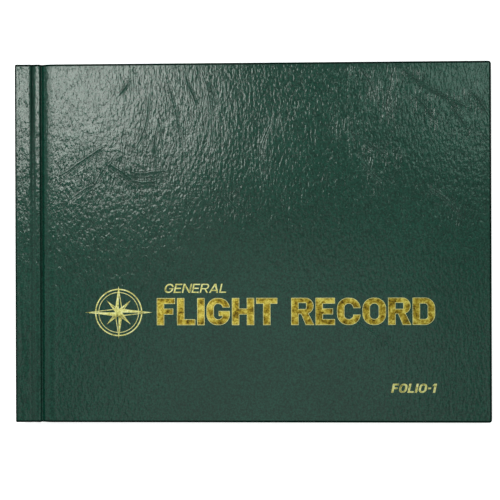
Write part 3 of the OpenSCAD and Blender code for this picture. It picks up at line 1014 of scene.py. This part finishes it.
def cover_side(step):
    """Outer and inner outlines of the leatherette from mid-joint to the flat part's fore-edge end."""
    path, inner = [], []

    def put(point, under):
        path.append(point)
        inner.append(under)

    wall_x = COVER_LOW.x
    middle = (MID_JOINT, BOOK_T - GROOVE_MIDDLE)
    rise = through([middle] + valley_points(GROOVE_RIGHT), GROOVE_STEP)
    for p in rise:
        put(p, (p[0], COVER_UNDER_Z if p[0] > wall_x else JOINT_UNDER_Z))
    for x in spaced(rise[-1][0] + 0.6 * MM, FORE_X - EDGE_R, step, 0.4 * MM, ("high",)):
        put((x, BOOK_T), (x, COVER_UNDER_Z))
    return path, inner


def multiple_path(path, inner):
    """Adds points in the widest gaps, so that the coarse inner face divides evenly."""
    path, inner = list(path), list(inner)
    while (len(path) - 1) % COARSE:
        gaps = [math.dist(a, b) for a, b in zip(path, path[1:])]
        k = int(np.argmax(gaps))
        path.insert(k + 1, tuple((np.array(path[k]) + np.array(path[k + 1])) / 2))
        inner.insert(k + 1, tuple((np.array(inner[k]) + np.array(inner[k + 1])) / 2))
    return path, inner


def front_relief(x, y):
    return cover_relief(x, y) * (1 - stamped(x, y, 9 * MM)) * (x > HINGE_B)


def back_relief(x, y):
    return cover_relief(x, y, seed=50) * (x > HINGE_B)


# Depths of the strip's pulls beside the crease, its soft waves and its uneven spots
PULLS_DEEP = 0.08 * MM
SOFT_DEEP = 0.06 * MM
UNEVEN_DEEP = 0.16 * MM


def spine_relief(x, y):
    """Small pulls across the strip, strongest beside the crease."""
    near = np.exp(-(((x - CREASE_MID) / (2.6 * MM)) ** 2))
    pulls = noise((x + 0.8 * y) / (2.1 * MM), (y - x) / (9 * MM), 71) + 0.6
    soft = noise(x / (9 * MM), y / (14 * MM), 73) + 0.7
    uneven = np.maximum(noise(x / (3.2 * MM), y / (10 * MM), 75) + 0.4, 0)
    past_corner = smooth(SPINE_X + 0.8 * MM, SPINE_X + 3 * MM, x)
    on_strip = past_corner * (1 - smooth(STRIP_END - 1.2 * MM, STRIP_END - 0.3 * MM, x))
    deep = PULLS_DEEP * pulls * near + SOFT_DEEP * soft + UNEVEN_DEEP * uneven
    return deep * on_strip * smooth(0.5 * MM, 4 * MM, HALF_Y - np.abs(y))


def make_case():
    """The leatherette: for each side one skin over the spine and strip, and one over the cover."""
    for side in ("front", "back"):
        flip = side == "back"
        step = 0.64 * MM if side == "front" else 0.95 * MM
        ys = pad_to(spaced(-HALF_Y + EDGE_R, HALF_Y - EDGE_R, step, 0.4 * MM, ("low", "high")), COARSE)

        path, inner = multiple_path(*spine_side())
        spine = cloth_shell(f"leatherette_{side}_spine", path, inner, ys, False, spine_relief, spine_fields,
                            flip, LEATHERETTE)
        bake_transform(spine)
        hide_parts("spine_cloth", f"{side}_joint_cloth")

        path, inner = multiple_path(*cover_side(step))
        relief, fields = (back_relief, back_fields) if flip else (front_relief, front_fields)
        cover = cloth_shell(f"leatherette_{side}_cover", path, inner, ys, True, relief, fields,
                            flip, LEATHERETTE)
        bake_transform(cover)
        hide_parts(f"{side}_cover_cloth")


# ---------------------------------------------------------------- leaves

def add_sheet(store, xs, ys, low_z, high_z):
    """One thin closed sheet: faces 0 on its two pages, 1 on its cut edges."""
    verts, faces, slots = store
    base = sum(len(v) for v in verts)
    n, m = len(xs), len(ys)
    gx, gy = np.meshgrid(xs, ys, indexing="ij")
    for z in (high_z, low_z):
        level = z(gx, gy) if callable(z) else np.full_like(gx, z)
        verts.append(np.stack([gx.ravel(), gy.ravel(), level.ravel()], 1))
    under = base + n * m
    for i in range(n - 1):
        for j in range(m - 1):
            a = i * m + j
            faces.append((base + a, base + a + m, base + a + m + 1, base + a + 1))
            faces.append((under + a, under + a + 1, under + a + m + 1, under + a + m))
            slots += [0, 0]
    rim = [i * m for i in range(n)] + [(n - 1) * m + j for j in range(1, m)]
    rim += [i * m + m - 1 for i in range(n - 2, -1, -1)] + [j for j in range(m - 2, 0, -1)]
    for a, b in zip(rim, rim[1:] + rim[:1]):
        faces.append((base + a, under + a, under + b, base + b))
        slots.append(1)


def leaf_levels(node, count):
    """Lowest and highest Z of each leaf of a section, with a little air between leaves."""
    low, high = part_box(node)
    pitch = (high.z - low.z) / count
    air = 0.1 if count > 1 else 0
    return [(low.z + pitch * (k + air), low.z + pitch * (k + 1)) for k in range(count)]


def cut_stack(name, node, xs, count, materials, trim=0.0):
    """The leaves of one section as separate thin sheets."""
    store = ([], [], [])
    rng = np.random.default_rng(abs(hash_name(name)))
    for low_z, high_z in leaf_levels(node, count):
        inset_y = LEAF_Y - rng.uniform(0, 0.12) * MM
        end = xs[-1] - rng.uniform(0, trim)
        leaf_xs = np.where(xs == xs[-1], end, xs)
        add_sheet(store, leaf_xs, np.linspace(-inset_y, inset_y, 13), low_z, high_z)
    verts, faces, slots = store
    obj = piece_from(name, np.concatenate(verts), faces, materials, slots, smooth_shade=False)
    smooth_faces = [s == 0 for s in slots]
    obj.data.polygons.foreach_set("use_smooth", smooth_faces)
    return obj


def hash_name(name):
    return sum((k + 1) * ord(c) for k, c in enumerate(name))


def bend_steps(start, end, fine_low, fine_high):
    """X places along a leaf, close together where it bends."""
    step = 0.22 * MM
    parts = [np.arange(start, fine_low, 1.5 * MM), np.arange(fine_low, fine_high, step),
             np.linspace(fine_high, end, max(2, int((end - fine_high) / (9 * MM)) + 2))]
    xs = np.unique(np.round(np.concatenate(parts), 7))
    return xs[(xs >= start) & (xs <= end)]


# Half the length over which a leaf bends, where its inner edge lies, and how unevenly leaves are cut
BEND = 1.5 * MM
LEAF_START = MARGIN_LOW.x + 0.05 * MM
LEAF_TRIM = 0.15 * MM


def turning_leaves(node, count, materials):
    """Leaves that cross two hinge lines, cut in the middle of the gutter link between them."""
    gut_low, gut_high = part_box(f"{node}_gutter")
    leaf_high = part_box(node)[1]
    a, b = gut_low.x, gut_high.x
    mid = (a + b) / 2
    margin_xs = bend_steps(LEAF_START, mid, a - 0.2 * MM, mid)
    inner = cut_stack(f"{node}_margin_leaves", node, margin_xs, count, materials)
    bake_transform(inner)
    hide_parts(f"{node}_gutter")
    outer = cut_stack(f"{node}_leaves", node, bend_steps(mid, leaf_high.x, mid, b + BEND + 0.3 * MM), count,
                      materials, trim=LEAF_TRIM)
    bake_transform(outer)
    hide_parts(node)


def make_leaves():
    paper = [RULED, PLAIN_PAGE]
    cream = [ENDPAPER, ENDPAPER]
    for side, numbers in (("front", (1, 2, 3)), ("back", (7, 6, 5))):
        turning_leaves(f"{side}_flyleaf", 1, cream)
        for k in numbers:
            turning_leaves(f"section_{k}", LEAVES_PER_SECTION, paper)
    middle_xs = bend_steps(LEAF_START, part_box("section_4")[1].x, MARGIN_HIGH.x, MARGIN_HIGH.x + BEND)
    middle = cut_stack("section_4_leaves", "section_4", middle_xs, LEAVES_PER_SECTION, paper, LEAF_TRIM)
    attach(middle, "binding")
    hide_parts("section_4", "sewn_margins")


# ---------------------------------------------------------------- endpapers glued to the covers

def make_endpapers():
    """The glued half of each endpaper: over the strip's inner face, across the joint and over the cover."""
    half_y = PASTE_HIGH.y
    hinge_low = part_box("front_joint_lining")[0].z
    thick = 0.16 * MM
    sink = 0.11 * MM
    turn_edge_x = FORE_X - TURN_IN
    turn_edge_y = HALF_Y - TURN_IN

    def sunk(x, y):
        """How deep the paper lies in the window inside the folded leatherette."""
        inside = smooth(0, 1.6 * MM, turn_edge_x - x) * smooth(0, 1.6 * MM, turn_edge_y - np.abs(y))
        past_hinge = smooth(HINGE_B + 1 * MM, HINGE_B + 3 * MM, x)
        ripple = 0.02 * MM * (noise(x / (24 * MM), y / (24 * MM), 91) + 0.5)
        return (sink * inside + ripple) * past_hinge

    for side in ("front", "back"):
        flip = side == "back"

        def level(offset):
            def at(x, y):
                z = hinge_low + offset + sunk(x, y)
                return BOOK_T - z if flip else z
            return at

        def sheet_piece(name, xs):
            store = ([], [], [])
            ys = np.concatenate([
                np.linspace(-half_y, -turn_edge_y - 1 * MM, 4)[:-1],
                np.linspace(-turn_edge_y - 1 * MM, -turn_edge_y + 3 * MM, 8),
                np.linspace(-turn_edge_y + 3 * MM, turn_edge_y - 3 * MM, 26)[1:-1],
                np.linspace(turn_edge_y - 3 * MM, turn_edge_y + 1 * MM, 8),
                np.linspace(turn_edge_y + 1 * MM, half_y, 4)[1:],
            ])
            low, high = level(0.005 * MM), level(thick)
            if flip:
                low, high = high, low
            add_sheet(store, xs, ys, low, high)
            return piece_from(name, np.concatenate(store[0]), store[1], [ENDPAPER, ENDPAPER], store[2])

        hinge_xs = np.concatenate([np.linspace(HINGE_A - 3.5 * MM, HINGE_A, 5)[:-1],
                                   np.linspace(HINGE_A, MID_JOINT, 14)])
        hinge = sheet_piece(f"{side}_endpaper_hinge", hinge_xs)
        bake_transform(hinge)
        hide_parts(f"{side}_joint_lining")

        end_x = PASTE_HIGH.x
        cover_xs = np.concatenate([
            np.linspace(MID_JOINT, HINGE_B + 3 * MM, 26)[:-1],
            np.linspace(HINGE_B + 3 * MM, turn_edge_x - 3 * MM, 30)[:-1],
            np.linspace(turn_edge_x - 3 * MM, turn_edge_x + 1 * MM, 8)[:-1],
            np.linspace(turn_edge_x + 1 * MM, end_x, 4),
        ])
        paste = sheet_piece(f"{side}_endpaper_pasted", cover_xs)
        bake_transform(paste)
        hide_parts(f"{side}_pastedown")


# ---------------------------------------------------------------- head and tail bands

def make_band(node):
    """A woven band: a ribbed roll whose turns alternate in colour."""
    low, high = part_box(node)
    cx, cy = (low.x + high.x) / 2, (low.y + high.y) / 2
    radius = (high.x - low.x) / 2
    turns, around, per_turn = 14, 16, 6
    verts, faces, slots = [], [], []
    rings = turns * per_turn + 1
    for k in range(rings):
        z = low.z + (high.z - low.z) * k / (rings - 1)
        swell = abs(math.sin(math.pi * k / per_turn))
        r = radius * (0.84 + 0.16 * swell)
        for q in range(around):
            a = 2 * math.pi * q / around
            verts.append((cx + r * math.cos(a), cy + r * math.sin(a), z))
    for k in range(rings - 1):
        for q in range(around):
            p = (q + 1) % around
            faces.append((k * around + q, k * around + p, (k + 1) * around + p, (k + 1) * around + q))
            slots.append((k // per_turn) % 2)
    faces.append(tuple(range(around - 1, -1, -1)))
    faces.append(tuple(range((rings - 1) * around, rings * around)))
    slots += [0, 0]
    band = piece_from(f"{node}_woven", verts, faces, [BAND_GREEN, BAND_WHITE], slots)
    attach(band, "binding")
    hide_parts(node)


# ---------------------------------------------------------------- foil

RIM_WIDTH = {"title_foil": 0.2 * MM, "folio_foil": 0.1 * MM}
THIN_RIM = 0.07 * MM
FOIL_SUNK = 0.025 * MM
SAME_LEVEL = 1e-6


def outline_loops(bm, top_z):
    """Loops of points round the foil's upper face, the foil on the left of the way they run. The faces
    are taken in the mesh's own order, so that the loops start at the same points on every run."""
    flat = [f for f in bm.faces if f.normal.z > 0.9 and f.calc_center_median().z > top_z - SAME_LEVEL]
    lying = set(flat)
    following = {}
    for face in flat:
        for loop in face.loops:
            others = [f for f in loop.edge.link_faces if f is not face]
            if not any(f in lying for f in others):
                following.setdefault(loop.vert, []).append(loop.link_loop_next.vert)
    loops = []
    while following:
        start = next(iter(following))
        chain, here = [], start
        while here in following:
            onward = following[here].pop()
            if not following[here]:
                del following[here]
            chain.append(here.co.copy())
            here = onward
        loops.append(chain)
    return loops


def without_short_steps(points, least):
    kept = [points[0]]
    for p in points[1:]:
        if (p - kept[-1]).length > least:
            kept.append(p)
    if (kept[0] - kept[-1]).length < least:
        kept.pop()
    return kept


def rim_strip(points, width, low_z, high_z, base):
    """A closed bead that follows an outline, its inner side the mitred offset of the outline."""
    n = len(points)
    verts, faces = [], []
    for k in range(n):
        before, here, after = points[k - 1], points[k], points[(k + 1) % n]
        d0 = (here - before).to_2d().normalized()
        d1 = (after - here).to_2d().normalized()
        n0 = Vector((-d0.y, d0.x))
        n1 = Vector((-d1.y, d1.x))
        mitre = n0 + n1
        if mitre.length < 0.2:
            mitre = n0
        mitre.normalize()
        reach = width / max(mitre.dot(n0), 0.5)
        inner = here.to_2d() + mitre * reach
        verts += [(here.x, here.y, low_z), (here.x, here.y, high_z),
                  (inner.x, inner.y, high_z), (inner.x, inner.y, low_z)]
    for k in range(n):
        a, b = base + 4 * k, base + 4 * ((k + 1) % n)
        for q in range(4):
            faces.append((a + q, b + q, b + (q + 1) % 4, a + (q + 1) % 4))
    return verts, faces


def make_stamped(node, rim):
    """The foil of a CAD node, its face sunk a little inside a narrow raised rim, as the die leaves it."""
    bm = bmesh.new()
    bm.from_mesh(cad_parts[node].data)
    bmesh.ops.remove_doubles(bm, verts=bm.verts, dist=1e-6)
    top_z = max(v.co.z for v in bm.verts)
    low_z = min(v.co.z for v in bm.verts)
    verts, faces = [], []
    for loop in outline_loops(bm, top_z):
        points = without_short_steps(loop, 0.02 * MM)
        if len(points) < 3:
            continue
        v, f = rim_strip(points, rim, low_z + 0.01 * MM, top_z, len(verts))
        verts += v
        faces += f
    for v in bm.verts:
        if v.co.z > top_z - SAME_LEVEL:
            v.co.z -= FOIL_SUNK
    mesh = bpy.data.meshes.new(f"{node}_stamped")
    bm.to_mesh(mesh)
    bm.free()
    mesh.materials.append(BROAD_FOIL if node == "title_foil" else FINE_FOIL)
    face = bpy.data.objects.new(f"{node}_stamped", mesh)
    bpy.context.scene.collection.objects.link(face)
    add_rest(mesh)
    # The bead round the foil wears the paler gold of the painted highlight.
    edge = piece_from(f"{node}_rim", verts, faces, [FOIL_RIM_HIGHLIGHT], smooth_shade=False)
    for obj in (face, edge):
        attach(obj, "front_cover")
        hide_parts(node)


# ---------------------------------------------------------------- CAD nodes that stay

def dress_cad_nodes():
    finishes = {
        "spine_board": GREYBOARD, "front_strip_board": GREYBOARD, "back_strip_board": GREYBOARD,
        "front_board": GREYBOARD, "back_board": GREYBOARD,
        "spine_lining": KRAFT, "mull": GAUZE, "sewing_thread": THREAD,
    }
    for node, material in finishes.items():
        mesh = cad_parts[node].data
        mesh.materials.clear()
        mesh.materials.append(material)


# ---------------------------------------------------------------- stage, light and camera

def make_floor():
    mat, tree, shader = new_material("pale_floor")
    grain = noise_node(tree, object_coords(tree), 60, 3, 0.5)
    tree.links.new(ramp(tree, grain, (0.3, grey(0.90)), (0.7, grey(0.93))), shader.inputs["Base Color"])
    shader.inputs["Roughness"].default_value = 0.9
    shader.inputs["Specular IOR Level"].default_value = 0.2
    shader.inputs["Emission Color"].default_value = (1, 1, 1, 1)
    shader.inputs["Emission Strength"].default_value = 0.72
    half = 3.0
    floor = piece_from("floor", [(-half, -half, 0), (half, -half, 0), (half, half, 0), (-half, half, 0)],
                       [(0, 1, 2, 3)], [mat])


def area_light(name, place, aim, size, power, colour=(1, 1, 1), shape="RECTANGLE", turn=0):
    """A soft light that faces along aim, turned about its own axis by some degrees."""
    data = bpy.data.lights.new(name, "AREA")
    data.shape = shape
    data.size, data.size_y = size
    data.energy = power
    data.color = colour
    light = bpy.data.objects.new(name, data)
    bpy.context.scene.collection.objects.link(light)
    light.location = place
    facing = Vector(aim).to_track_quat("-Z", "Y")
    light.rotation_euler = (facing @ Euler((0, 0, math.radians(turn))).to_quaternion()).to_euler()


LIGHT_HIGH = 0.60
PANEL_HIGH = 0.75
WINDOW_TINT = (0.95, 1.0, 0.94)


def make_lights():
    """A nearly even world, one slanted window whose image is the highlight, and weak panels all round."""
    world = bpy.data.worlds.new("studio")
    bpy.context.scene.world = world
    world.use_nodes = True
    background = world.node_tree.nodes["Background"]
    background.inputs["Color"].default_value = (0.91, 0.99, 0.97, 1)
    background.inputs["Strength"].default_value = 0.27
    over = (0, 0, -1)
    area_light("window", (-0.200, 0.172, LIGHT_HIGH), over, (0.262, 0.165), 0.96, WINDOW_TINT, "ELLIPSE", -38)
    area_light("window_side", (-0.43, 0.20, LIGHT_HIGH), over, (0.24, 0.24), 0.8, WINDOW_TINT)
    area_light("sheen", (0.236, 0.176, LIGHT_HIGH), over, (0.20, 0.19), 0.26, (0.68, 1.0, 0.86), "ELLIPSE")
    area_light("tail_glow", (0.0, -0.14, LIGHT_HIGH), over, (0.40, 0.31), 0.15, shape="ELLIPSE")
    for name, x, y, power in (("left", -1.0, 0.1, 1.2), ("right", 1.0, -0.05, 0.9),
                              ("head", 0.05, 1.0, 1.2), ("tail", 0.0, -1.0, 1.0)):
        area_light(f"{name}_panel", (x, y, PANEL_HIGH), (-x, -y, -PANEL_HIGH), (1.7, 0.9), power)


def make_camera():
    data = bpy.data.cameras.new("camera")
    data.sensor_width = 36
    data.lens = 90.8
    data.clip_start = 0.01
    camera = bpy.data.objects.new("camera", data)
    bpy.context.scene.collection.objects.link(camera)
    camera.location = (0.0202, -0.0029, 0.600 + BOOK_T)
    camera.rotation_euler = Euler((math.radians(-0.066), math.radians(2.015), math.radians(-0.193)), "XYZ")
    bpy.context.scene.camera = camera


make_camera()
make_lights()
make_floor()
make_case()
make_leaves()
make_endpapers()
for band_node in ("head_band", "tail_band"):
    make_band(band_node)
for foil_node in FOIL_NODES:
    make_stamped(foil_node, RIM_WIDTH.get(foil_node, THIN_RIM))
dress_cad_nodes()
bpy.context.scene.view_settings.view_transform = "Standard"
